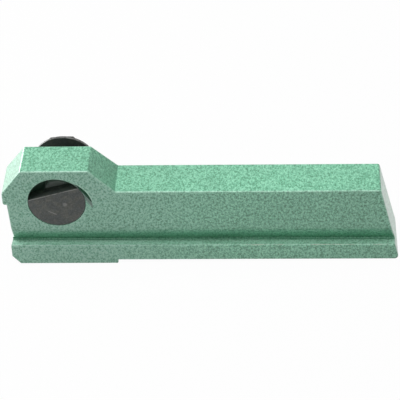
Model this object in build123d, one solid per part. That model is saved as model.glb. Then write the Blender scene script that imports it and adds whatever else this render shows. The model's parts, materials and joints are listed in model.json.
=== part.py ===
"""Straight parting tool holder for a lathe, with its half-moon blade clamp.

Four pieces, as the real one comes apart on a bench: a drop-forged body, a clamp
bolt with a half-moon jaw, a washer and a thin hexagon nut.

Frame: millimetres, +Z up.  The origin is the middle of the flat under the shank,
which is what a tool post grips.  +X runs along the shank to its rear end, so the
head with the clamp is at -X, and the blade seat faces -Y.
"""
from build123d import *
from math import cos, radians, sin, tan
import os

# ---- driving dimensions: the forged body ------------------------------------
overall_length = 150.0      # tip of the nose to the rear bottom edge
shank_height = 30.4         # flat under the shank to the top of the shank
shank_top_width = 17.4      # blade seat to the back face, at the top of the shank
back_draft = 5.3            # degrees, forging draft on the back face
rear_rake = 13.8            # degrees, the rear end leans forward at its top
rear_foot_radius = 1.4      # rear bottom edge
rear_top_radius = 0.9       # rear top edge

head_rise = 9.7             # top of the head above the top of the shank
head_back = 43.0            # nose tip to the foot of the slope behind the head
head_slope = 45.0           # degrees, slope from the head down to the shank
head_edge_radius = 0.9      # front and rear edges of the head's top
slope_foot_radius = 1.2     # hollow corner at the foot of that slope
nose_setback = 7.85         # nose tip to the front edge of the head's top
nose_slope = 37.6           # degrees from upright, the face above the nose
nose_depth = 15.6           # top of the head to the nose's lower face
nose_overhang = 1.5         # nose tip to the relief below it
nose_radius = 2.0           # upper corner of the nose
nose_lip_radius = 0.9       # lower corner of the nose
front_relief = 2.9          # degrees, the relief below the nose leans back

heel_length = 42.6          # nose tip to the rear of the proud heel under the head
heel_depth = 1.5            # heel below the flat under the shank
heel_corner_radius = 0.5    # rear lower corner of the heel
toe_step = 0.45             # the toe under the relief stands out by this much
toe_top = 7.6               # top of the toe
toe_chamfer_height = 2.1    # where the chamfer under the toe starts
toe_chamfer_run = 3.0       # length of that chamfer along the shank

# ---- driving dimensions: the blade seat -------------------------------------
seat_recess = 3.0           # ledge's outer face to the seat face
ledge_height = 7.15         # outer edge of the ledge that the blade stands on
ledge_slope = 12.0          # degrees, the ledge falls towards the body
ledge_edge_radius = 0.45    # outer edge of the ledge
undercut_angle = 24.0       # degrees from upright, wall that undercuts the seat
undercut_start = 12.1       # height at which that wall would meet the seat
undercut_blend = 9.0        # radius that rolls the seat into the undercut
groove_root_radius = 0.4    # bottom of the groove
front_edge_radius = 0.4     # soft edges of the forging, on the seat's side
back_edge_radius = 0.8      # the edges along the back are rounder

# ---- driving dimensions: the clamp ------------------------------------------
bore_diameter = 22.0        # blind bore in the head, for the jaw
bore_float = 0.7            # end of the clamp's neck to the floor of that bore
bore_from_nose = 20.6       # nose tip to the bore's axis
bore_drop = 14.5            # top of the head to the bore's axis
spot_face_diameter = 28.0   # machined seat for the washer, at the back
spot_face_wall = 16.8       # blade seat to that machined seat
scallop_radius = 12.6       # clearance scallop beside the bore's front edge
scallop_shift = (1.1, -2.2)  # its centre from the bore's axis, along X and Z
scallop_start = 11.06       # bore's axis to the line where its floor starts
scallop_heading = 34.0      # degrees above +X, the way its floor deepens
scallop_tilt = 80.0         # degrees, how steeply its floor falls

jaw_clearance = 0.25        # radial, jaw in bore
jaw_thickness = 6.5         # half-moon jaw, along the axis
jaw_flat_offset = 4.1       # axis to the jaw's gripping edge
jaw_flat_slope = 8.0        # degrees, the gripping face falls away inwards
jaw_turn = 16.0             # degrees, the jaw as it stands at rest
jaw_edge = 0.2              # broken edge round the jaw
neck_diameter = 10.8        # plain neck behind the jaw
neck_length = 4.6
stud_diameter = 9.5         # thread, at its major diameter
stud_relief_depth = 1.0     # run-out groove between neck and thread
stud_relief_width = 2.0
stud_end_chamfer = 1.0
stud_beyond_nut = 2.0       # end of the stud past the nut
stud_clearance = 0.35       # radial, stud in the hole behind the bore

washer_diameter = 25.4
washer_thickness = 1.4
washer_clearance = 0.95     # radial, washer on stud
washer_sits_off = (0.85, -0.15)  # the slack washer's centre from the axis, along X and Z
washer_edge = 0.3           # broken edges of the washer
washer_gap = 7.7            # machined seat to washer, with the clamp slack
nut_across_flats = 16.0
nut_thickness = 5.6
nut_chamfer = 30.0          # degrees, on both ends of the nut
nut_turn = 63.0             # degrees, the nut as it stands at rest
thread_clearance = 0.05     # radial, nut on stud
face_clearance = 0.05       # washer to nut

# ---- places worked out from those -------------------------------------------
base_width = seat_recess + shank_top_width + shank_height * tan(radians(back_draft))
nose_x = -(heel_length + overall_length) / 2
rear_x = nose_x + overall_length
head_top = shank_height + head_rise
nose_underside = head_top - nose_depth
ledge_y = -base_width / 2
seat_y = ledge_y + seat_recess
bore_x = nose_x + bore_from_nose
bore_height = head_top - bore_drop
jaw_radius = bore_diameter / 2 - jaw_clearance
spot_face_y = seat_y + spot_face_wall
neck_y = seat_y + jaw_thickness
thread_y = neck_y + neck_length
bore_floor_y = thread_y + bore_float
washer_y = spot_face_y + washer_gap
nut_y = washer_y + washer_thickness + face_clearance
stud_end_y = nut_y + nut_thickness + stud_beyond_nut


def outline(points, corners):
    """Flat face through the points, with each listed corner (x, y, radius) rounded."""
    face = Polygon(*points, align=None)
    for x, y, radius in corners:
        face = fillet(face.vertices().sort_by_distance((x, y, 0))[0], radius)
    return face


def back_face_y(z):
    """Where the drafted back face stands at a height."""
    return seat_y + shank_top_width + (shank_height - z) * tan(radians(back_draft))


def on_clamp_axis(y):
    """Plane square to the clamp's axis: its x is +X, its y is +Z."""
    return Plane(origin=(bore_x, y, bore_height), x_dir=(1, 0, 0), z_dir=(0, -1, 0))


def bar(profile, y_front, y_back):
    """Solid drawn along the clamp's axis between two places, front to back."""
    return extrude(on_clamp_axis(y_front) * profile, amount=y_back - y_front, dir=(0, 1, 0))


# ---- the forged body ----------------------------------------------------------
def body_section():
    """Cross-section, Y across and Z up: blade ledge, undercut groove, seat, drafted back."""
    lean = tan(radians(undercut_angle))
    fall = tan(radians(ledge_slope))
    groove = (seat_recess + lean * (undercut_start - ledge_height)) / (1 - lean * fall)
    root = (ledge_y + groove, ledge_height - fall * groove)
    points = [
        (ledge_y, -heel_depth),
        (ledge_y, ledge_height),
        root,
        (seat_y, undercut_start),
        (seat_y, head_top),
        (back_face_y(head_top), head_top),
        (back_face_y(-heel_depth), -heel_depth),
    ]
    corners = [
        (ledge_y, ledge_height, ledge_edge_radius),
        (*root, groove_root_radius),
        (seat_y, undercut_start, undercut_blend),
    ]
    return outline(points, corners)


def body_profile():
    """Side view, X along and Z up: nose, head, shank, raked rear end, heel and toe."""
    head_front = nose_x + nose_setback
    nose_face_top = head_top - nose_setback / tan(radians(nose_slope))
    slope_foot = nose_x + head_back
    slope_top = slope_foot - head_rise / tan(radians(head_slope))
    rear_top = rear_x - shank_height * tan(radians(rear_rake))
    relief_top = nose_x + nose_overhang
    relief_foot = relief_top + (nose_underside - toe_top) * tan(radians(front_relief))
    toe_x = relief_foot - toe_step
    heel_x = nose_x + heel_length
    points = [
        (nose_x, nose_underside),
        (nose_x, nose_face_top),
        (head_front, head_top),
        (slope_top, head_top),
        (slope_foot, shank_height),
        (rear_top, shank_height),
        (rear_x, 0),
        (heel_x, 0),
        (heel_x, -heel_depth),
        (toe_x + toe_chamfer_run, -heel_depth),
        (toe_x, toe_chamfer_height),
        (toe_x, toe_top - toe_step),
        (relief_foot, toe_top),
        (relief_top, nose_underside),
    ]
    corners = [
        (nose_x, nose_underside, nose_lip_radius),
        (nose_x, nose_face_top, nose_radius),
        (head_front, head_top, head_edge_radius),
        (slope_top, head_top, head_edge_radius),
        (slope_foot, shank_height, slope_foot_radius),
        (rear_top, shank_height, rear_top_radius),
        (rear_x, 0, rear_foot_radius),
        (heel_x, -heel_depth, heel_corner_radius),
    ]
    return outline(points, corners)


def soften_edges(body):
    """The rounded long edges that a forging has, on the seat's side and along the back."""
    seat_edges = [
        edge for edge in body.edges()
        if abs(edge.center().Y - seat_y) < 0.01 and edge.center().Z > undercut_start + 3
    ]
    body = fillet(seat_edges, front_edge_radius)
    back_edges = [
        edge for edge in body.edges()
        if abs(edge.center().Y - back_face_y(edge.center().Z)) < 0.01
    ]
    return fillet(back_edges, back_edge_radius)


def scallop():
    """Clearance beside the bore's front edge: a round cutter's wall and a tilted floor."""
    heading = (cos(radians(scallop_heading)), sin(radians(scallop_heading)))
    depth_at_rim = 2 * scallop_radius
    wall = Pos(*scallop_shift) * Circle(scallop_radius)
    cutter = bar(wall, seat_y - depth_at_rim, seat_y + depth_at_rim)
    floor = Plane(
        origin=(bore_x + scallop_start * heading[0], seat_y, bore_height + scallop_start * heading[1]),
        x_dir=(heading[0], 0, heading[1]),
        z_dir=(-heading[1], 0, heading[0]),
    )
    fall = depth_at_rim * tan(radians(scallop_tilt))
    wedge = Polygon((0, 0), (depth_at_rim, 0), (depth_at_rim, fall), align=None)
    return cutter & extrude(floor * wedge, amount=depth_at_rim, both=True)


def holder_body():
    """Forging with the jaw's bore in its head, the stud's hole, and a machined seat behind."""
    body = extrude(Plane.YZ * body_section(), amount=overall_length, both=True)
    body &= extrude(Plane.XZ * body_profile(), amount=base_width, both=True)
    body = soften_edges(body)
    stud_hole = Circle(stud_diameter / 2 + stud_clearance)
    body -= bar(Circle(bore_diameter / 2), seat_y - seat_recess, bore_floor_y)
    body -= bar(stud_hole, bore_floor_y, spot_face_y)
    body -= bar(Circle(spot_face_diameter / 2), spot_face_y, seat_y + base_width)
    return body - scallop()


# ---- the clamp ------------------------------------------------------------------
def turned(points, centre=(0, 0)):
    """Solid of revolution along Y, from points (radius, y); centre is off the clamp's axis."""
    foot = (bore_x + centre[0], 0, bore_height + centre[1])
    section = Plane(origin=foot, x_dir=(1, 0, 0), z_dir=(0, 0, 1))
    return revolve(section * Polygon(*points, align=None), Axis(foot, (0, 1, 0)))


def clamp_bolt():
    """Half-moon jaw, plain neck and threaded stud: turned from bar, then the flat is milled."""
    neck_radius = neck_diameter / 2
    stud_radius = stud_diameter / 2
    relief_radius = stud_radius - stud_relief_depth
    relief_end = thread_y + stud_relief_width
    bolt = turned([
        (0, seat_y),
        (jaw_radius - jaw_edge, seat_y),
        (jaw_radius, seat_y + jaw_edge),
        (jaw_radius, neck_y),
        (neck_radius, neck_y),
        (neck_radius, thread_y),
        (relief_radius, thread_y),
        (relief_radius, relief_end),
        (stud_radius, relief_end + stud_relief_depth),
        (stud_radius, stud_end_y - stud_end_chamfer),
        (stud_radius - stud_end_chamfer, stud_end_y),
        (0, stud_end_y),
    ])
    edge = (cos(radians(jaw_turn)), 0, sin(radians(jaw_turn)))
    flat = Plane(origin=(bore_x, seat_y, bore_height), x_dir=(0, 1, 0), z_dir=edge)
    flat_back = jaw_flat_offset - jaw_thickness * tan(radians(jaw_flat_slope))
    milled_away = Polygon(
        (0, jaw_flat_offset),
        (jaw_thickness, flat_back),
        (jaw_thickness, bore_diameter),
        (0, bore_diameter),
        align=None,
    )
    return bolt - extrude(flat * milled_away, amount=bore_diameter, both=True)


def washer():
    """Plain washer between the machined seat and the nut, loose on the stud."""
    inner = stud_diameter / 2 + washer_clearance
    outer = washer_diameter / 2
    back = washer_y + washer_thickness
    section = [
        (inner, washer_y),
        (outer - washer_edge, washer_y),
        (outer, washer_y + washer_edge),
        (outer, back - washer_edge),
        (outer - washer_edge, back),
        (inner, back),
    ]
    return turned(section, washer_sits_off)


def hex_nut():
    """Thin hexagon nut, chamfered at both ends."""
    flat_radius = nut_across_flats / 2
    corner_radius = flat_radius / cos(radians(30))
    chamfer_length = (corner_radius - flat_radius) * tan(radians(nut_chamfer))
    back = nut_y + nut_thickness
    hexagon = RegularPolygon(flat_radius, 6, major_radius=False, rotation=nut_turn)
    blank = turned([
        (stud_diameter / 2 + thread_clearance, nut_y),
        (flat_radius, nut_y),
        (corner_radius, nut_y + chamfer_length),
        (corner_radius, back - chamfer_length),
        (flat_radius, back),
        (stud_diameter / 2 + thread_clearance, back),
    ])
    return blank & bar(hexagon, nut_y, back)


# ---- one STEP file for each piece -------------------------------------------------
os.makedirs("parts", exist_ok=True)
for name, make in {
    "holder_body": holder_body,
    "clamp_bolt": clamp_bolt,
    "washer": washer,
    "hex_nut": hex_nut,
}.items():
    export_step(make(), f"parts/{name}.step")
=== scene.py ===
import json
from math import ceil, cos, exp, log, pi, radians, sin, tan

import bmesh
import bpy
from mathutils import Matrix, Vector


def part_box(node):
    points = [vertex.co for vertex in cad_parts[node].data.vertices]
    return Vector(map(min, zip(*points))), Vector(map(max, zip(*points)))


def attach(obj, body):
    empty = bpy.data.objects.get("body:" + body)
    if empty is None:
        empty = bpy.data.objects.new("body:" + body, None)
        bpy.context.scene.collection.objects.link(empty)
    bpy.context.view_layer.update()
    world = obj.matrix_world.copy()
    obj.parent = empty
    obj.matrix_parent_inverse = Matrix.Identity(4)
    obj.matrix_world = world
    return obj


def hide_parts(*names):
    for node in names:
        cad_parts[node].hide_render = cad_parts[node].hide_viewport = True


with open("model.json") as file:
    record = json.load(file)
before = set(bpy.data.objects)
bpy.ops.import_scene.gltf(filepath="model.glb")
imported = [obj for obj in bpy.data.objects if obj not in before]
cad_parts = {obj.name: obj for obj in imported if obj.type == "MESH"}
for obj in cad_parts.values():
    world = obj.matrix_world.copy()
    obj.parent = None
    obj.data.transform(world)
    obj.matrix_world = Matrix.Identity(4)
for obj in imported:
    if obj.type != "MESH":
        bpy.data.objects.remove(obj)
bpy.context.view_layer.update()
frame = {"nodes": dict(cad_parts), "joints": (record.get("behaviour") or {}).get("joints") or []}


# ---- holder body ----------------------------------------------------------------
# A drop forging in tool steel, machined in its bore and seats and then sprayed all
# over with a fine hammer-finish enamel.  The enamel dries in small dimples and draws
# thin and pale along the edges.  Painted shade darkens its hollows, and painted light,
# sheen and highlight lie on its faces and edges.

MM = 0.001                  # sizes below are in millimetres


def ends_along_y(node):
    """Front and back ends of a CAD node along Y."""
    low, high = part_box(node)
    return low.y / MM, high.y / MM


slide = next(joint for joint in frame["joints"] if joint["name"] == "clamp_slide")
slide_x, slide_y, slide_z = slide["pos_m"]
AXIS = Vector((slide_x, 0, slide_z)) / MM   # the clamp's axis, which runs along Y
WASHER_SEAT_Y = slide_y / MM        # machined seat behind the head
BORE_RADIUS = 11.0
SEAT_SIDE_Y = -8.2          # everything in front of it belongs to the side the blade lies on
LEDGE_Y = ends_along_y("holder_body")[0]
LEDGE_HEIGHT = 7.15         # its outer edge
LEDGE_FALL = tan(radians(12))
GROOVE_Y = -6.9             # bottom of the groove behind it
SCALLOP_RADIUS = 12.5
SCALLOP_CENTRE = (1.1, -2.2)        # from the clamp's axis
SCALLOP_HEADING = radians(34)       # the way the scallop beside the bore deepens

ENAMEL_DIMPLE = 0.50        # size of the finest dimples
ENAMEL_PIT = 0.85           # size of the darker pits between them
ENAMEL_FINE_SHARE = 0.62    # the dimples' share of the relief
PITS_TO_CRESTS = (0.40, 0.60)       # height of the coat in its pits and on its crests
ENAMEL_CLOUD = 14.0         # slow changes in how thick the coat lies
ENAMEL_DRAWN = (1.0, 0.68, 0.82)    # the spray has drawn the dimples out across the bar
# the pits' colour, also used as painted shade in hollows, at the seat's foot and on the slope
ENAMEL_DEEP = (0.055, 0.255, 0.140, 1)
ENAMEL_BODY = (0.160, 0.480, 0.300, 1)
ENAMEL_CREST = (0.275, 0.640, 0.440, 1)
# pale green of the thin coat, also used for painted highlight on edges and painted light on the ledge's
# crests
ENAMEL_THIN_AND_LIT = (0.46, 0.73, 0.58, 1)
# pale grey-green of painted sheen
ENAMEL_SHEEN = (0.275, 0.465, 0.385, 1)
ENAMEL_REFRACTION = 1.5
PRIMER = (0.42, 0.38, 0.32, 1)
# dark green of painted shadow, in the scallop and along the ledge's lip
SHADOW_GREEN = (0.055, 0.110, 0.085, 1)
# light grey-green of painted light inside the bore
BORE_LIGHT_GREY = (0.36, 0.52, 0.43, 1)
STEEL_RUBBED = (0.42, 0.42, 0.40, 1)

# where each change in the coat and in the light and shade painted on it starts and where
# it is complete, along one axis; of four places, the last two are where it fades and ends
SEAT_ROLLS_Z = (17.5, 13.0)         # painted shade where the seat rolls into the groove at its foot
SEAT_FOOT_Z = (9.4, 6.6)
SEAT_FOOT_Y = (-9.4, -8.8, -6.6, -6.0)
SLOPE_SHADED_Z = (39.5, 31.0)        # painted shade darkens down the slope behind the head
SLOPE_SHADED_X = (-63.6, -62.8, -53.5, -53.0)
# painted light and shade along the bar: lighter towards the rear off the seat side, darker towards the rear
# on it
BACK_PAINTED_LIGHTER_X = (-70.0, 20.0)
SEAT_PAINTED_DARKER_X = (-20.0, 45.0)
# painted sheen on the seat side and on the ledge
SEAT_SHEEN_X = (0.0, -70.0)
LEDGE_SHEEN_X = (-10.0, -60.0)
LEDGE_THINS_Z = (8.0, 9.0)
# painted shadow line along the ledge's lip
LIP_SHADOW_X = (-5.0, -50.0)
LIP_SCRAPED_X = (-35.0, -5.0)
# painted light inside the bore, from here inwards
BORE_LIT_Y = (-8.0, -4.0)
# painted shadow in the scallop beside the bore
SCALLOP_SHADOW_SPAN = (9.3, 10.3)      # from the clamp's axis, the way the scallop heads
WASHER_RUBS = (6.2, 7.4, 12.2, 13.0)        # radii

ENAMEL_RELIEF = 0.12        # how high the dimples stand
HOLLOW_REACH = 3.0          # how far off a wall still makes a hollow
HOLLOW_SHADE = 0.22          # how strongly painted shade darkens them
EDGE_REACH = 0.7            # how far in from an edge the coat is thin and painted highlight shows
EDGE_PALE = 0.75            # how strongly the thin coat and painted highlight show along it
PRIMER_BARE = 0.62          # how far the primer shows in the scrapes
STREAK = (0.12, 1.0, 1.0)   # draws the scrapes out along the ledge


def feed(tree, node, inputs):
    """Sets a node's inputs, named as Base_Color or numbered as _0, from sockets or plain values."""
    for key, value in inputs.items():
        socket = node.inputs[int(key[1:])] if key[0] == "_" else node.inputs[key.replace("_", " ")]
        if isinstance(value, bpy.types.NodeSocket):
            tree.links.new(value, socket)
        else:
            socket.default_value = value


def add(tree, kind, settings=None, **inputs):
    """New node: settings are its own options, inputs are sockets or plain values."""
    node = tree.nodes.new(kind)
    for key, value in (settings or {}).items():
        setattr(node, key, value)
    feed(tree, node, inputs)
    return node


def shader_tree(name):
    """New material with its node tree and a Principled shader."""
    material = bpy.data.materials.new(name)
    material.use_nodes = True
    tree = material.node_tree
    tree.nodes.clear()
    surface = add(tree, "ShaderNodeBsdfPrincipled")
    add(tree, "ShaderNodeOutputMaterial", Surface=surface.outputs["BSDF"])
    return material, tree, surface


def reckon(tree, operation, first, second=0.0):
    """Socket with the result of one sum."""
    return add(tree, "ShaderNodeMath", {"operation": operation}, _0=first, _1=second).outputs[0]


def times(tree, first, *others):
    """Socket with the product of all these."""
    for other in others:
        first = reckon(tree, "MULTIPLY", first, other)
    return first


def most(tree, first, *others):
    """Socket with the greatest of these."""
    for other in others:
        first = reckon(tree, "MAXIMUM", first, other)
    return first


def remainder(tree, share):
    """Socket with what a share leaves of 1."""
    return reckon(tree, "SUBTRACT", 1.0, share)


def away(tree, value, middle):
    """Socket with how far a value is from the middle, either way."""
    return reckon(tree, "ABSOLUTE", reckon(tree, "SUBTRACT", value, middle))


def step(tree, value, low, high, at_low=0.0, at_high=1.0):
    """Socket that goes smoothly from at_low to at_high while value goes from low to high."""
    return add(tree, "ShaderNodeMapRange", {"interpolation_type": "SMOOTHSTEP"}, Value=value, From_Min=low,
               From_Max=high, To_Min=at_low, To_Max=at_high).outputs["Result"]


def vary(tree, noise, at_low, at_high):
    """Socket that varies between two levels with a noise, most of which lies between 0.3 and 0.7."""
    return step(tree, noise, 0.3, 0.7, at_low, at_high)


def band(tree, value, start, full, fading, end):
    """Socket that rises to 1 from start to full, and falls to 0 again from fading to end."""
    return times(tree, step(tree, value, start, full), step(tree, value, end, fading))


def ramp(tree, factor, stops):
    """Socket with a colour that runs through (position, colour) stops."""
    node = add(tree, "ShaderNodeValToRGB", Fac=factor)
    elements = node.color_ramp.elements
    while len(elements) < len(stops):
        elements.new(0.5)
    for element, (position, colour) in zip(elements, stops):
        element.position = position
        element.color = colour
    return node.outputs["Color"]


def blend_values(tree, share, first, second):
    """Socket with two numbers mixed."""
    return add(tree, "ShaderNodeMix", {"data_type": "FLOAT"}, _0=share, _2=first, _3=second).outputs[0]


def blend_colours(tree, share, first, second, blend="MIX"):
    """Socket with two colours mixed."""
    return add(tree, "ShaderNodeMix", {"data_type": "RGBA", "blend_type": blend}, _0=share, _6=first,
               _7=second).outputs[2]


def shaded(tree, colour, shade):
    """Socket with a colour made lighter or darker."""
    grey = add(tree, "ShaderNodeCombineColor", _0=shade, _1=shade, _2=shade).outputs[0]
    return blend_colours(tree, 1.0, colour, grey, "MULTIPLY")


def place_in_mm(tree):
    """Socket with the place on the piece, in millimetres, and its X, Y and Z."""
    place = add(tree, "ShaderNodeTexCoord").outputs["Object"]
    place = add(tree, "ShaderNodeVectorMath", {"operation": "SCALE"}, Vector=place, Scale=1 / MM).outputs[0]
    return place, add(tree, "ShaderNodeSeparateXYZ", Vector=place).outputs


def stretched(tree, place, scale):
    """Socket with a place scaled along each axis; below 1 draws a texture out."""
    return add(tree, "ShaderNodeVectorMath", {"operation": "MULTIPLY"}, _0=place, _1=scale).outputs[0]


def grain(tree, place, size, detail, roughness):
    """Socket with even noise whose lumps are about this size."""
    return add(tree, "ShaderNodeTexNoise", Vector=place, Scale=1 / size, Detail=detail,
               Roughness=roughness).outputs["Fac"]


def off_axis(tree, spot, centre=(0.0, 0.0)):
    """Sockets with the distance across and up from a centre, which is measured from the clamp's axis."""
    return (reckon(tree, "SUBTRACT", spot["X"], AXIS.x + centre[0]),
            reckon(tree, "SUBTRACT", spot["Z"], AXIS.z + centre[1]))


def radius_from(tree, spot, centre=(0.0, 0.0)):
    """Socket with the distance from a line along Y, whose centre is measured from the clamp's axis."""
    across, up = off_axis(tree, spot, centre)
    square = reckon(tree, "ADD", times(tree, across, across), times(tree, up, up))
    return reckon(tree, "SQRT", square)


def outer_edges(tree, reach):
    """Socket that is 1 on the outer edges of a solid and 0 on its faces."""
    inside = add(tree, "ShaderNodeAmbientOcclusion", {"inside": True, "samples": 12, "only_local": True},
                 Distance=reach * MM)
    return step(tree, inside.outputs["AO"], 0.97, 0.72)


def hollows(tree, reach):
    """Socket that is 1 deep in grooves and corners and 0 on open faces."""
    outside = add(tree, "ShaderNodeAmbientOcclusion", {"samples": 8, "only_local": True},
                  Distance=reach * MM)
    return step(tree, outside.outputs["AO"], 0.92, 0.45)


def dimples(tree, place):
    """Socket with the height of the coat: fine dimples with wider pits between them."""
    drawn = stretched(tree, place, ENAMEL_DRAWN)
    fine = grain(tree, drawn, ENAMEL_DIMPLE, 2.5, 0.6)
    pits = grain(tree, drawn, ENAMEL_PIT, 1.0, 0.5)
    return reckon(tree, "ADD", times(tree, fine, ENAMEL_FINE_SHARE),
                  times(tree, pits, 1 - ENAMEL_FINE_SHARE))


def ledge_top(tree, spot):
    """Socket that is 1 on the sloped top of the ledge."""
    inwards = reckon(tree, "SUBTRACT", spot["Y"], LEDGE_Y)
    rise = reckon(tree, "ADD", spot["Z"], times(tree, inwards, LEDGE_FALL))
    on_slope = reckon(tree, "LESS_THAN", away(tree, rise, LEDGE_HEIGHT), 0.12)
    return times(tree, on_slope, reckon(tree, "LESS_THAN", spot["Y"], GROOVE_Y))


def cloud_and_painted_light(tree, spot, cloud, seat_side):
    """Socket with the coat's slow random changes and painted light: darker towards the rear of the seat
    side, darker at the nose elsewhere.
    """
    elsewhere = step(tree, spot["X"], *BACK_PAINTED_LIGHTER_X, at_low=0.89, at_high=1.0)
    along_seat = step(tree, spot["X"], *SEAT_PAINTED_DARKER_X, at_low=1.0, at_high=0.90)
    return times(tree, vary(tree, cloud, 0.95, 1.05), blend_values(tree, seat_side, elsewhere, along_seat))


def painted_shade(tree, spot, seat_side, on_ledge):
    """Socket with painted shade: in hollows, at the seat's foot and down the slope behind the head."""
    seat_foot = most(tree, step(tree, spot["Z"], *SEAT_ROLLS_Z, at_high=0.2),
                     step(tree, spot["Z"], *SEAT_FOOT_Z, at_high=0.50))
    seat_foot = times(tree, seat_foot, band(tree, spot["Y"], *SEAT_FOOT_Y))
    slope = times(tree, step(tree, spot["Z"], *SLOPE_SHADED_Z, at_low=0.04, at_high=0.34),
                  band(tree, spot["X"], *SLOPE_SHADED_X), remainder(tree, seat_side))
    shaded_dark = most(tree, times(tree, hollows(tree, HOLLOW_REACH), HOLLOW_SHADE), seat_foot, slope)
    return times(tree, shaded_dark, remainder(tree, on_ledge))


def painted_sheen(tree, spot, cloud, depth, seat_side, on_ledge):
    """Socket with painted sheen on the seat side, strongest at the head, and on the ledge."""
    seat = times(tree, step(tree, spot["X"], *SEAT_SHEEN_X, at_low=0.10, at_high=0.46), seat_side,
                 remainder(tree, on_ledge))
    ledge = times(tree, on_ledge, step(tree, spot["X"], *LEDGE_SHEEN_X, at_low=0.38, at_high=0.75))
    return times(tree, most(tree, seat, ledge), vary(tree, cloud, 0.85, 1.15),
                 step(tree, depth, *PITS_TO_CRESTS, at_low=0.25, at_high=1.60))


def scallop_shadow(tree, spot, seat_side):
    """Socket for painted shadow on the lip between the bore and its scallop."""
    in_scallop = step(tree, radius_from(tree, spot, SCALLOP_CENTRE),
                      SCALLOP_RADIUS + 0.15, SCALLOP_RADIUS - 0.15)
    past_bore = step(tree, radius_from(tree, spot), BORE_RADIUS - 0.1, BORE_RADIUS + 0.05)
    across, up = off_axis(tree, spot)
    towards = reckon(tree, "ADD", times(tree, across, cos(SCALLOP_HEADING)),
                     times(tree, up, sin(SCALLOP_HEADING)))
    black = step(tree, towards, *SCALLOP_SHADOW_SPAN, at_high=0.85)
    return times(tree, in_scallop, past_bore, black, seat_side)


def painted_bore_light(tree, spot):
    """Socket for painted light inside the bore, which makes it lighter and greyer."""
    return times(tree, step(tree, radius_from(tree, spot), BORE_RADIUS + 0.08, BORE_RADIUS + 0.02),
                 step(tree, spot["Y"], *BORE_LIT_Y, at_high=0.8))


def thin_coat_and_painted_light(tree, place, spot, depth, on_ledge, scallop_shade):
    """Socket with where the coat is thin and painted highlight falls, unevenly over the outer edges, and
    with painted light on the ledge's crests.
    """
    uneven = step(tree, grain(tree, place, 2.2, 3.0, 0.6), 0.34, 0.58, at_low=0.25)
    off_bore = step(tree, radius_from(tree, spot), BORE_RADIUS + 0.6, BORE_RADIUS + 1.4, at_low=0.25)
    off_ledge = step(tree, spot["Z"], *LEDGE_THINS_Z, at_low=0.05)
    edges = times(tree, outer_edges(tree, EDGE_REACH), uneven, off_bore, off_ledge,
                  remainder(tree, scallop_shade), EDGE_PALE)
    crests = times(tree, on_ledge, step(tree, depth, *PITS_TO_CRESTS, at_low=0.15, at_high=0.60))
    return most(tree, edges, crests)


def ledge_lip_shadow_and_wear(tree, place, spot, colour):
    """Socket with a painted shadow line along the ledge's lip, darker towards the head, and the lip scraped
    to the primer at the rear.
    """
    scraped = step(tree, grain(tree, stretched(tree, place, STREAK), 0.9, 2.0, 0.6), 0.46, 0.60)
    lip = times(tree, step(tree, away(tree, spot["Z"], LEDGE_HEIGHT), 0.40, 0.10),
                step(tree, spot["Y"], LEDGE_Y + 0.6, LEDGE_Y + 0.3))
    lip_shadow = times(tree, lip, step(tree, spot["X"], *LIP_SHADOW_X, at_low=0.15, at_high=0.60))
    colour = blend_colours(tree, lip_shadow, colour, SHADOW_GREEN)
    bare = times(tree, lip, step(tree, spot["X"], *LIP_SCRAPED_X), scraped, PRIMER_BARE)
    return blend_colours(tree, bare, colour, PRIMER)


def rubbed_ring(tree, place, spot):
    """Socket for the ring of the machined seat that the washer has rubbed down to the steel."""
    ring = band(tree, radius_from(tree, spot), *WASHER_RUBS)
    on_seat = reckon(tree, "LESS_THAN", away(tree, spot["Y"], WASHER_SEAT_Y), 0.05)
    scuffs = reckon(tree, "ADD", grain(tree, place, 1.6, 4.0, 0.65), times(tree, ring, 0.14))
    return times(tree, ring, on_seat, step(tree, scuffs, 0.56, 0.62))


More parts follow.
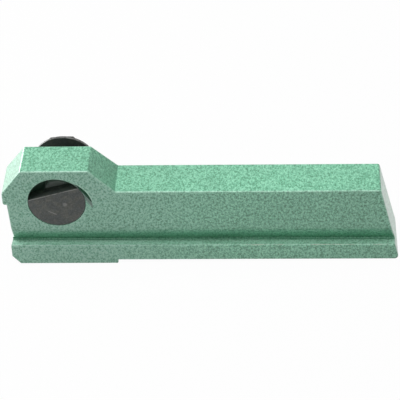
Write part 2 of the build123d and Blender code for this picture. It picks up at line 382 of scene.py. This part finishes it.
def hammer_enamel():
    """Dimpled enamel with its wear, and painted shade, light and sheen, laid over it one after another."""
    material, tree, surface = shader_tree("green_hammer_enamel")
    place, spot = place_in_mm(tree)
    depth = dimples(tree, place)
    cloud = grain(tree, place, ENAMEL_CLOUD, 2.0, 0.5)
    seat_side = step(tree, spot["Y"], SEAT_SIDE_Y + 0.6, SEAT_SIDE_Y)
    on_ledge = ledge_top(tree, spot)
    scallop_shade = scallop_shadow(tree, spot, seat_side)
    rubbed = rubbed_ring(tree, place, spot)
    # painted light and shade on the dimples of the seat side, which no lamp faces, make them stand out more
    relief = blend_values(tree, seat_side, 1.0, step(tree, depth, 0.41, 0.59, at_low=0.93, at_high=1.07))

    colour = ramp(tree, depth, [(0.405, ENAMEL_DEEP), (0.50, ENAMEL_BODY), (0.605, ENAMEL_CREST)])
    # painted light and shade along the bar, over the coat's slow random changes
    colour = shaded(tree, colour, cloud_and_painted_light(tree, spot, cloud, seat_side))
    # painted shade in the hollows, at the seat's foot and down the slope behind the head
    colour = blend_colours(tree, painted_shade(tree, spot, seat_side, on_ledge), colour, ENAMEL_DEEP)
    # painted sheen on the seat side and the ledge
    sheen = painted_sheen(tree, spot, cloud, depth, seat_side, on_ledge)
    colour = blend_colours(tree, sheen, colour, ENAMEL_SHEEN)
    colour = shaded(tree, colour, relief)
    # painted shadow on the lip of the scallop
    colour = blend_colours(tree, scallop_shade, colour, SHADOW_GREEN)
    # painted light inside the bore
    colour = blend_colours(tree, painted_bore_light(tree, spot), colour, BORE_LIGHT_GREY)
    # thin coat and painted highlight on the edges, and painted light on the ledge's crests
    thin_and_lit = thin_coat_and_painted_light(tree, place, spot, depth, on_ledge, scallop_shade)
    colour = blend_colours(tree, thin_and_lit, colour, ENAMEL_THIN_AND_LIT)
    # painted shadow line along the ledge's lip, and its scrapes to the primer
    colour = ledge_lip_shadow_and_wear(tree, place, spot, colour)
    colour = blend_colours(tree, rubbed, colour, STEEL_RUBBED)

    bump = add(tree, "ShaderNodeBump", Strength=0.35, Distance=ENAMEL_RELIEF * MM, Height=depth)
    feed(tree, surface, {
        "Base_Color": colour,
        "Metallic": times(tree, rubbed, 0.8),
        "Roughness": step(tree, depth, 0.35, 0.65, at_low=0.46, at_high=0.34),
        "IOR": ENAMEL_REFRACTION,
        "Coat_Weight": 1.0,
        "Coat_Roughness": 0.30,
        "Coat_IOR": ENAMEL_REFRACTION,
        "Normal": bump.outputs["Normal"],
    })
    return material


holder = frame["nodes"]["holder_body"]
holder.data.materials.clear()
holder.data.materials.append(hammer_enamel())


# ---- clamp bolt -------------------------------------------------------------------
# Turned from bar in one piece: a half-moon jaw with its gripping face milled, a plain
# neck, a run-out groove and a cut thread.  It is blackened hot in a salt bath, and
# the black has rubbed off along the jaw's edges and the crests of the thread; a painted
# highlight runs along the gripping edge, and painted light pales the neck.

JAW_FRONT_Y, bolt_end_y = ends_along_y("clamp_bolt")
JAW_THICKNESS = 6.5
JAW_BACK_Y = JAW_FRONT_Y + JAW_THICKNESS
JAW_RADIUS = 10.75
JAW_FLAT_RISE = 4.1         # the axis to the gripping edge
JAW_FLAT_FALL = radians(8)  # the gripping face falls away towards the neck
JAW_TURN = radians(16)
JAW_EDGE = 0.2              # rounding of the front rim
JAW_BACK_EDGE = 0.06
JAW_MILLED_EDGE = 0.1       # rounding round the gripping face
JAW_STEPS = 160             # facets round the jaw
NECK_RADIUS = 5.4
NECK_LENGTH = 4.6
NECK_BACK_Y = JAW_BACK_Y + NECK_LENGTH
NECK_SUNK = 1.2             # how far the neck's core reaches into the jaw
NECK_CORE = 2.8             # its radius
NECK_LAP = 0.01             # how far the whole neck overlaps the jaw
NECK_CORNER = 0.15          # broken corner against the jaw, and the groove's own corner
NECK_CHAMFER = 0.2
STUD_RADIUS = 4.75
STUD_ROOT = 3.84            # bottom of the thread
STUD_GROOVE = 3.75          # run-out groove and chamfered end
STUD_GROOVE_Y = NECK_BACK_Y + 2.0   # the end of that groove
STUD_END_Y = bolt_end_y - 0.001     # a hair inside the solid's end
STUD_DIMPLE = 1.3           # radius of the lathe centre's mark in its end
THREAD_PITCH = 1.5875
THREAD_STEPS = 144          # facets round the thread
SHARP_EDGE = radians(30)    # edges that turn more than this are left crisp

OXIDE_BROWN = (0.071, 0.076, 0.064, 1)
OXIDE_BLUE = (0.053, 0.061, 0.058, 1)
OXIDE_RUBBED = (0.30, 0.30, 0.29, 1)
# pale grey of painted light on the neck
OXIDE_LIT = (0.40, 0.43, 0.41, 1)
OXIDE_CLOUD = 2.6           # size of the bath's brown and blue patches
OXIDE_SPECK = 0.55
TURNING_MARK = 0.22         # spacing of the tool's marks
OXIDE_RELIEF = 0.03         # how high they and the specks stand
OXIDE_REFRACTION = 1.52

DING_CENTRE = (3.05, -0.9)  # from the clamp's axis, as the scratch is
DING_FADES = (1.15, 0.45)   # radii between which it brightens
SCRATCH_MIDDLE = -1.95
SCRATCH_DROP = 5.83         # how far its line passes under the axis
SCRATCH_SLANT = 0.5
SCRATCH_SIDE_FADES = (0.24, 0.10)
SCRATCH_END_FADES = (1.75, 1.3)


def finish_shape(mesh):
    """Brings a mesh made in millimetres to size, smooth but for its real edges."""
    mesh.transform(Matrix.Scale(MM, 4))
    mesh.shade_smooth()
    mesh.set_sharp_from_angle(angle=SHARP_EDGE)


def mesh_object(name, bm):
    """Object from a closed skin, welded and with its faces turned outwards."""
    bmesh.ops.remove_doubles(bm, verts=bm.verts, dist=0.001)
    bmesh.ops.recalc_face_normals(bm, faces=bm.faces)
    mesh = bpy.data.meshes.new(name)
    bm.to_mesh(mesh)
    bm.free()
    piece = bpy.data.objects.new(name, mesh)
    bpy.context.scene.collection.objects.link(piece)
    return piece


def lathe(bm, profile, steps, centre=(0.0, 0.0)):
    """Skin turned round the clamp's axis through (radius, y) points; radius 0 closes an end."""
    middle_x, middle_z = AXIS.x + centre[0], AXIS.z + centre[1]
    turn = [2 * pi * k / steps for k in range(steps)]
    rings = []
    for radius, y in profile:
        if radius == 0:
            rings.append([bm.verts.new((middle_x, y, middle_z))] * steps)
        else:
            rings.append([bm.verts.new((middle_x + radius * cos(angle), y, middle_z + radius * sin(angle)))
                          for angle in turn])
    for near, far in zip(rings, rings[1:]):
        for k in range(steps):
            corners = (near[k], near[(k + 1) % steps], far[(k + 1) % steps], far[k])
            bm.faces.new(list(dict.fromkeys(corners)))


def screw_skin(bm, start_y, end_y, crest, root, limit, outward):
    """Helical thread skin between two places; limit(y) is how far the crests may reach."""
    # shares of a pitch: the root ends, the crest starts and ends, and the root starts again
    form = ((0.0, root), (0.11, root), (0.47, crest), (0.57, crest), (0.93, root))
    turns = int(ceil((end_y - start_y) / THREAD_PITCH)) + 2
    along = [(turn + share, radius) for turn in range(-1, turns) for share, radius in form]
    columns = []
    for k in range(THREAD_STEPS + 1):
        column = []
        angle = 2 * pi * k / THREAD_STEPS
        for share, radius in along:
            y = min(max(start_y + (share + k / THREAD_STEPS) * THREAD_PITCH, start_y), end_y)
            radius = min(radius, limit(y)) if outward else max(radius, limit(y))
            column.append(bm.verts.new((AXIS.x + radius * cos(angle), y, AXIS.z + radius * sin(angle))))
        columns.append(column)
    for left, right in zip(columns, columns[1:]):
        for n in range(len(along) - 1):
            bm.faces.new((left[n], left[n + 1], right[n + 1], right[n]))


def stud_limit(y):
    """Greatest radius of the stud: it tapers into the groove and at the chamfered end."""
    return min(STUD_RADIUS, STUD_GROOVE + (y - STUD_GROOVE_Y), STUD_GROOVE + (STUD_END_Y - y))


def clamp_jaw():
    """Half-moon jaw: a turned disc with rounded rims, cut by the milled gripping face."""
    bm = bmesh.new()
    lathe(bm, [
        (0, JAW_FRONT_Y),
        (JAW_RADIUS - JAW_EDGE, JAW_FRONT_Y),
        (JAW_RADIUS - 0.3 * JAW_EDGE, JAW_FRONT_Y + 0.3 * JAW_EDGE),
        (JAW_RADIUS, JAW_FRONT_Y + JAW_EDGE),
        (JAW_RADIUS, JAW_BACK_Y - JAW_BACK_EDGE),
        (JAW_RADIUS - JAW_BACK_EDGE, JAW_BACK_Y),
        (0, JAW_BACK_Y),
    ], JAW_STEPS)
    rise = Vector((-sin(JAW_TURN), 0, cos(JAW_TURN)))
    corner = Vector((AXIS.x, JAW_FRONT_Y, AXIS.z)) + rise * JAW_FLAT_RISE
    normal = (rise * cos(JAW_FLAT_FALL) + Vector((0, sin(JAW_FLAT_FALL), 0))).normalized()
    bmesh.ops.bisect_plane(bm, geom=bm.verts[:] + bm.edges[:] + bm.faces[:], plane_co=corner,
                           plane_no=normal, clear_outer=True)
    bmesh.ops.holes_fill(bm, edges=[edge for edge in bm.edges if edge.is_boundary])
    bmesh.ops.recalc_face_normals(bm, faces=bm.faces)
    gripping = max(bm.faces, key=lambda face: face.calc_area() * (face.normal.dot(normal) > 0.9))
    bmesh.ops.bevel(bm, geom=gripping.edges[:], offset=JAW_MILLED_EDGE, segments=2, profile=0.5,
                    affect="EDGES")
    return mesh_object("jaw_blank", bm)


def neck_and_stud():
    """Neck, run-out groove and thread in one skin, its front end sunk in the jaw."""
    bm = bmesh.new()
    lathe(bm, [
        (0, JAW_BACK_Y - NECK_SUNK),
        (NECK_CORE, JAW_BACK_Y - NECK_SUNK),
        (NECK_CORE, JAW_BACK_Y - NECK_LAP),
        (NECK_RADIUS - NECK_CORNER, JAW_BACK_Y - NECK_LAP),
        (NECK_RADIUS, JAW_BACK_Y - NECK_LAP + NECK_CORNER),
        (NECK_RADIUS, NECK_BACK_Y - NECK_CHAMFER),
        (NECK_RADIUS - NECK_CHAMFER, NECK_BACK_Y),
        (STUD_GROOVE + NECK_CORNER, NECK_BACK_Y),
        (STUD_GROOVE, NECK_BACK_Y + NECK_CORNER),
        (STUD_GROOVE, STUD_GROOVE_Y),
    ], THREAD_STEPS)
    screw_skin(bm, STUD_GROOVE_Y, STUD_END_Y, STUD_RADIUS, STUD_ROOT, stud_limit, True)
    lathe(bm, [
        (STUD_GROOVE, STUD_END_Y),
        (STUD_DIMPLE, STUD_END_Y),
        (STUD_DIMPLE - 0.2, STUD_END_Y - 0.25),
        (0, STUD_END_Y - 1.0),
    ], THREAD_STEPS)
    return mesh_object("stud_blank", bm)


def join_solids(body, tool):
    """Welds one solid on to another, as if they had been turned in one piece."""
    weld = body.modifiers.new("weld", "BOOLEAN")
    weld.operation = "UNION"
    weld.solver = "EXACT"
    weld.object = tool
    shape = body.evaluated_get(bpy.context.evaluated_depsgraph_get())
    mesh = bpy.data.meshes.new_from_object(shape)
    body.modifiers.clear()
    body.data = mesh
    bpy.data.objects.remove(tool)


def black_oxide(name, depth=1.0, turned=True, rub=0.8, reach=0.35, marks_and_highlights=None, lit_neck_y=None):
    """Hot-blackened steel with turning marks and rubbed edges.

    depth below 1 is a blacker bath; reach is how far the rubbing goes in from an edge;
    marks_and_highlights adds a piece's own bright marks and painted highlights; lit_neck_y
    is where a paler band of painted light lies."""
    material, tree, surface = shader_tree(name)
    place, spot = place_in_mm(tree)
    cloud = grain(tree, place, OXIDE_CLOUD, 3.0, 0.6)
    speck = grain(tree, place, OXIDE_SPECK, 3.0, 0.65)
    colour = blend_colours(tree, step(tree, cloud, 0.40, 0.58), OXIDE_BROWN, OXIDE_BLUE)
    colour = shaded(tree, colour, vary(tree, speck, 0.65 * depth, 1.35 * depth))
    # painted light: a paler band where the neck shows behind the jaw
    if lit_neck_y:
        lit_neck = band(tree, spot["Y"], lit_neck_y[0] - 0.05, lit_neck_y[0], lit_neck_y[1] - 0.4, lit_neck_y[1])
        colour = blend_colours(tree, lit_neck, colour, OXIDE_LIT)
    uneven = step(tree, grain(tree, place, 1.3, 3.0, 0.6), 0.35, 0.55, at_low=0.3)
    bright = times(tree, outer_edges(tree, reach), uneven, rub)
    if marks_and_highlights:
        bright = most(tree, bright, marks_and_highlights(tree, spot, uneven))
    colour = blend_colours(tree, bright, colour, OXIDE_RUBBED)
    height = times(tree, speck, 0.6)
    if turned:
        marks = add(tree, "ShaderNodeTexNoise", {"noise_dimensions": "1D"}, W=radius_from(tree, spot),
                    Scale=1 / TURNING_MARK, Detail=2.0, Roughness=0.6)
        height = reckon(tree, "ADD", height, marks.outputs["Fac"])
    bump = add(tree, "ShaderNodeBump", Strength=0.35, Distance=OXIDE_RELIEF * MM, Height=height)
    feed(tree, surface, {
        "Base_Color": colour,
        "Metallic": bright,
        "Roughness": vary(tree, cloud, 0.32, 0.46),
        "IOR": OXIDE_REFRACTION,
        "Normal": bump.outputs["Normal"],
    })
    return material


def jaw_marks_and_highlight(tree, spot, uneven):
    """Socket for the jaw's own bright marks, a ding and a scratch, and a painted highlight along its
    gripping edge.
    """
    across, up = off_axis(tree, spot)
    rise = reckon(tree, "SUBTRACT", times(tree, up, cos(JAW_TURN)), times(tree, across, sin(JAW_TURN)))
    # painted highlight along the gripping edge
    edge = times(tree, step(tree, rise, JAW_FLAT_RISE - 0.27, JAW_FLAT_RISE - 0.17), uneven)
    ding = times(tree, step(tree, radius_from(tree, spot, DING_CENTRE), *DING_FADES), 0.46)
    line = reckon(tree, "ADD", up, times(tree, across, SCRATCH_SLANT))
    scratch = times(tree, step(tree, away(tree, line, -SCRATCH_DROP), *SCRATCH_SIDE_FADES),
                    step(tree, away(tree, across, SCRATCH_MIDDLE), *SCRATCH_END_FADES), 0.62)
    on_front = reckon(tree, "LESS_THAN", spot["Y"], JAW_FRONT_Y + 0.12)
    return times(tree, most(tree, edge, ding, scratch), on_front)


bolt = clamp_jaw()
join_solids(bolt, neck_and_stud())
bolt.name = "clamp_bolt_turned"
finish_shape(bolt.data)
bolt.data.materials.clear()
bolt.data.materials.append(black_oxide("turned_black_steel", marks_and_highlights=jaw_marks_and_highlight,
                                       lit_neck_y=(JAW_BACK_Y - 0.04, NECK_BACK_Y)))
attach(bolt, "clamp_bolt")
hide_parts("clamp_bolt")


# ---- washer -----------------------------------------------------------------------
# Blanked from strip: the punch has drawn one rim round and left a fine burr on the
# other, and the sheared wall is bright for most of its height and torn behind that.

WASHER_Y = ends_along_y("washer")[0]
WASHER_THICKNESS = 1.21
WASHER_BACK_Y = WASHER_Y + WASHER_THICKNESS
WASHER_RADIUS = 12.65
WASHER_HOLE = 5.7
WASHER_OFF = (0.85, -0.15)    # the slack washer hangs off the clamp's axis
WASHER_SHEARED = 0.75         # depth at which the bright wall ends
WASHER_TORN = 0.85            # and the torn wall behind it starts
WASHER_STEPS = 176


def stamped_washer():
    """Washer turned from the outline of its wall: drawn rim, sheared wall, torn wall and burr."""
    bm = bmesh.new()
    outer, hole, front, back = WASHER_RADIUS, WASHER_HOLE, WASHER_Y, WASHER_BACK_Y
    profile = [
        (hole + 0.22, front),
        (outer - 0.30, front),
        (outer - 0.13, front + 0.05),
        (outer - 0.03, front + 0.16),
        (outer, front + 0.30),
        (outer, front + WASHER_SHEARED),
        (outer - 0.05, front + WASHER_TORN),
        (outer - 0.08, back - 0.08),
        (outer - 0.14, back),
        (hole + 0.12, back),
        (hole + 0.06, back - 0.08),
        (hole, front + WASHER_SHEARED),
        (hole, front + 0.22),
        (hole + 0.08, front + 0.07),
    ]
    lathe(bm, profile + profile[:1], WASHER_STEPS, WASHER_OFF)
    return mesh_object("washer_stamped", bm)


def sheared_band(tree, spot, uneven):
    """Socket for the bright part of the washer's sheared wall, made brighter on one side by painted light.
    """
    bright_wall = band(tree, spot["Y"], WASHER_Y + 0.02, WASHER_Y + 0.12, WASHER_Y + WASHER_SHEARED,
                       WASHER_Y + WASHER_TORN)
    on_wall = reckon(tree, "GREATER_THAN", radius_from(tree, spot, WASHER_OFF), WASHER_RADIUS - 0.2)
    across, up = off_axis(tree, spot, WASHER_OFF)
    # painted light: the wall brighter on one side
    painted_lit_side = step(tree, across, -4.0, 6.0, at_low=0.06, at_high=0.9)
    return times(tree, bright_wall, on_wall, painted_lit_side, uneven)


washer = stamped_washer()
finish_shape(washer.data)
washer.data.materials.append(black_oxide("stamped_black_steel", depth=0.5, turned=False, rub=0.16,
                                         reach=0.3, marks_and_highlights=sheared_band))
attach(washer, "washer")
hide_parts("washer")


# ---- hexagon nut ------------------------------------------------------------------
# Cut from hexagon bar: chamfered at both ends on a lathe, drilled, countersunk and
# tapped, then blackened with the rest of the clamp.

NUT_Y, NUT_BACK_Y = ends_along_y("hex_nut")
NUT_FLAT = 8.0         # the axis to each flat
NUT_FACE = 8.3         # radius of the flat end inside the chamfer
NUT_CHAMFER = radians(15)
NUT_TURN = radians(63)
NUT_BORE = 4.80        # crests of the thread in the nut
NUT_ROOT = 5.35
NUT_SINK = 5.55        # countersink at each end
CORNER_SHARPNESS = 120      # higher leaves the hexagon's corners sharper


def hexagon_radius(angle):
    """Distance from the axis to the hexagon, whose corners are slightly rounded."""
    pull = sum(exp(CORNER_SHARPNESS * cos(angle - NUT_TURN - pi / 6 - k * pi / 3)) for k in range(6))
    return NUT_FLAT * CORNER_SHARPNESS / log(pull)


def nut_limit(y):
    """Least radius of the tapped hole, which opens out at both countersinks."""
    return max(NUT_BORE, NUT_SINK - (y - NUT_Y), NUT_SINK - (NUT_BACK_Y - y))


def threaded_nut():
    """Hexagon with chamfered ends, round a tapped hole."""
    bm = bmesh.new()
    columns = []
    for k in range(THREAD_STEPS):
        angle = 2 * pi * k / THREAD_STEPS
        wide = hexagon_radius(angle)
        face = min(NUT_FACE, wide - 0.08)
        deep = (wide - face) * tan(NUT_CHAMFER)
        front_half = [
            (NUT_SINK, 0),
            (face - 0.06, 0),
            (face, 0.02),
            (wide - 0.02, deep),
            (wide, deep + 0.05),
        ]
        column = [(radius, NUT_Y + y) for radius, y in front_half]
        column += [(radius, NUT_BACK_Y - y) for radius, y in reversed(front_half)]
        columns.append([bm.verts.new((AXIS.x + radius * cos(angle), y, AXIS.z + radius * sin(angle)))
                        for radius, y in column])
    for k in range(THREAD_STEPS):
        left, right = columns[k], columns[(k + 1) % THREAD_STEPS]
        for n in range(len(left) - 1):
            bm.faces.new((left[n], left[n + 1], right[n + 1], right[n]))
    screw_skin(bm, NUT_Y, NUT_BACK_Y, NUT_BORE, NUT_ROOT, nut_limit, False)
    return mesh_object("hex_nut_tapped", bm)


nut = threaded_nut()
finish_shape(nut.data)
nut.data.materials.append(black_oxide("cut_black_steel", depth=0.6, rub=0.75, reach=0.3))
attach(nut, "hex_nut")
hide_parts("hex_nut")


# ---- bench, lamps and camera --------------------------------------------------------
# A white bench that the holder rests on by its heel and its rear foot, soft lamps
# overhead and behind the nose, and a long lens looking down at the seat side.

HEEL_REAR = Vector((-53.7, 0, -1.5)) * MM
REAR_FOOT = Vector((53.3, 0, 0)) * MM
BENCH_SIZE = 6.0
BENCH_GREY = (0.62, 0.62, 0.62, 1)
BENCH_GLOW = 0.965          # share of white in what a lens or a gloss sees of the bench
SKY_FILL = 0.22             # soft light from all round


def white_bench():
    """Bench in the plane of the heel and the rear foot, which reads as white and still takes a shadow."""
    slope = (REAR_FOOT - HEEL_REAR).normalized()
    half = BENCH_SIZE / 2
    corners = [HEEL_REAR + slope * x + Vector((0, y, 0)) for x, y in
               ((-half, -half), (half, -half), (half, half), (-half, half))]
    mesh = bpy.data.meshes.new("bench")
    mesh.from_pydata(corners, [], [(0, 1, 2, 3)])
    bench = bpy.data.objects.new("bench", mesh)
    bpy.context.scene.collection.objects.link(bench)
    material, tree, surface = shader_tree("white_bench")
    feed(tree, surface, {"Base_Color": BENCH_GREY, "Roughness": 1.0, "Specular_IOR_Level": 0.0})
    path = add(tree, "ShaderNodeLightPath").outputs
    seen = times(tree, most(tree, path["Is Camera Ray"], path["Is Glossy Ray"]), BENCH_GLOW)
    glow = add(tree, "ShaderNodeEmission", Strength=1.0)
    mix = add(tree, "ShaderNodeMixShader", _0=seen, _1=surface.outputs[0], _2=glow.outputs[0])
    feed(tree, tree.nodes["Material Output"], {"Surface": mix.outputs[0]})
    mesh.materials.append(material)


def studio_world():
    """White round the holder, a soft fill on it, and a ceiling that gloss sees brighter than the walls."""
    world = bpy.data.worlds.new("studio")
    bpy.context.scene.world = world
    world.use_nodes = True
    tree = world.node_tree
    tree.nodes.clear()
    path = add(tree, "ShaderNodeLightPath").outputs
    seen = most(tree, path["Is Camera Ray"], path["Is Transmission Ray"])
    heading = add(tree, "ShaderNodeTexCoord").outputs["Generated"]
    height = add(tree, "ShaderNodeSeparateXYZ", Vector=heading).outputs["Z"]
    mirrored = times(tree, path["Is Glossy Ray"], step(tree, height, 0.0, 0.5, at_low=0.1, at_high=0.6))
    fill = times(tree, path["Is Diffuse Ray"], SKY_FILL)
    sky = add(tree, "ShaderNodeBackground", Color=(1, 1, 1, 1), Strength=most(tree, seen, mirrored, fill))
    add(tree, "ShaderNodeOutputWorld", Surface=sky.outputs[0])


def soft_lamp(name, place, aim, width, height, watts):
    """Rectangular lamp that faces a place; its places and sizes are in metres."""
    data = bpy.data.lights.new(name, "AREA")
    data.shape = "RECTANGLE"
    data.size = width
    data.size_y = height
    data.energy = watts
    lamp = bpy.data.objects.new(name, data)
    bpy.context.scene.collection.objects.link(lamp)
    lamp.location = place
    lamp.rotation_euler = (Vector(aim) - Vector(place)).to_track_quat("-Z", "Y").to_euler()


def camera():
    """Long lens above the seat side, turned a little to the left and held a little off level."""
    elevation = radians(37.81)
    azimuth = radians(-3.563)
    roll = radians(-2.483)
    distance = 668.37 * MM
    target = Vector((-21.304, -11.610, 28.892)) * MM
    forward = Vector((sin(azimuth) * cos(elevation), cos(azimuth) * cos(elevation), -sin(elevation)))
    right = Vector((cos(azimuth), -sin(azimuth), 0))
    up = right.cross(forward)
    tilted_right = cos(roll) * right + sin(roll) * up
    tilted_up = cos(roll) * up - sin(roll) * right
    data = bpy.data.cameras.new("camera")
    data.sensor_width = 36
    data.lens = 161.13
    data.clip_start = 0.01
    data.clip_end = 20
    eye = bpy.data.objects.new("camera", data)
    bpy.context.scene.collection.objects.link(eye)
    eye.matrix_world = Matrix.Translation(target - forward * distance) @ Matrix(
        (tilted_right, tilted_up, -forward)).transposed().to_4x4()
    bpy.context.scene.camera = eye


white_bench()
studio_world()
soft_lamp("overhead", place=(-0.26, 0.0, 0.85), aim=(0, 0, 0), width=0.9, height=0.9, watts=9.7)
soft_lamp("back_left", place=(-0.62, 0.46, 0.11), aim=(-0.09, 0, 0.03), width=0.6, height=0.2, watts=4.1)
camera()
bpy.context.scene.view_settings.view_transform = "Standard"
